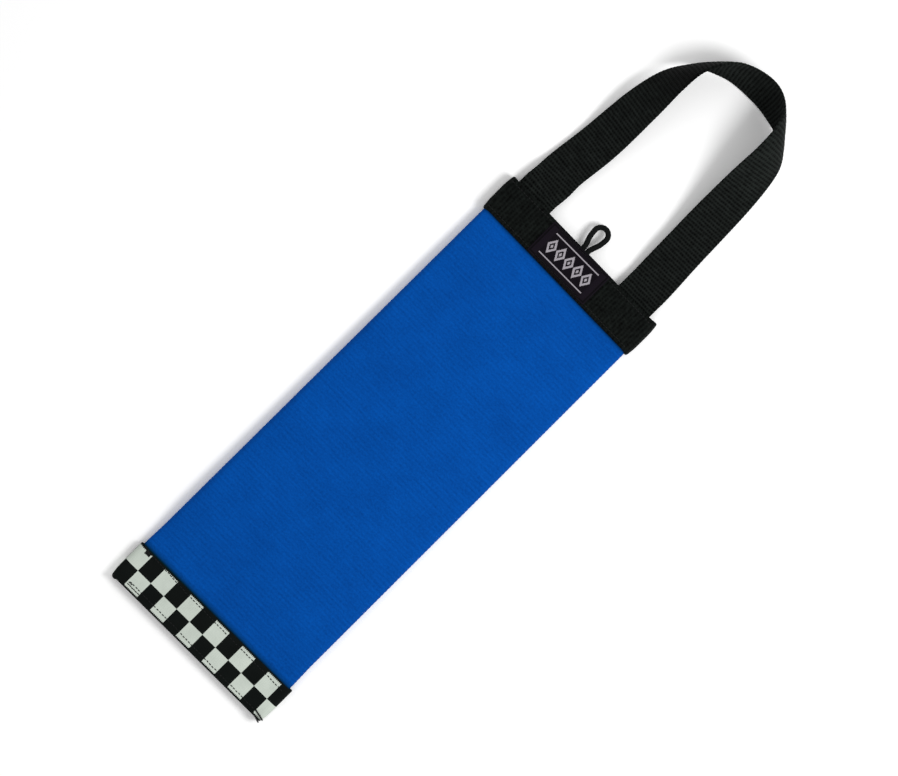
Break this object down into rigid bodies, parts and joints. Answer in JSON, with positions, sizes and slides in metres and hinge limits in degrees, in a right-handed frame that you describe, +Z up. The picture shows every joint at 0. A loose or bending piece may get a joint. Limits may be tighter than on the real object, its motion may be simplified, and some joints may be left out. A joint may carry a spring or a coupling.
{
  "type": "training bumper",
  "caption": "Flat fire-hose training bumper with a foam core, a webbing-bound head end with a twisted webbing handle and a cord loop, and a checked ribbon round the tail end.",
  "frame": {"origin": "middle of the hose's flat underside, on the ground it lies on", "axes": "+Y along the hose towards the handle, +Z up through its thickness, +X across its width"},
  "size_m": [0.1206, 0.4669, 0.0309],
  "materials": {
    "hose": "woven polyester jacket, dyed blue",
    "liner": "thin smooth lining",
    "foam": "closed-cell foam",
    "webbing": "ribbed black webbing",
    "ribbon": "woven ribbon in black and white checks",
    "label": "dark satin-woven label with no wording",
    "cord": "braided black cord"
  },
  "bodies": {
    "bumper": {"hose_jacket": "hose", "hose_liner": "liner", "foam_core": "foam", "head_band": "webbing", "tail_band": "ribbon", "handle_tail_left": "webbing", "handle_tail_right": "webbing", "cord_tail_left": "cord", "cord_tail_right": "cord", "woven_label": "label"},
    "handle": {"handle_strap": "webbing"},
    "cord": {"cord_loop": "cord"}
  },
  "joints": [
    {"name": "handle_flex", "type": "hinge", "parent": "bumper", "child": "handle", "pos_m": [0, 0.1677, 0.0051], "axis": [1, 0, 0], "range_deg": [-120, 120]},
    {"name": "cord_flex", "type": "hinge", "parent": "bumper", "child": "cord", "pos_m": [0.0005, 0.1657, 0.0051], "axis": [1, 0, 0], "range_deg": [-110, 110]}
  ]
}
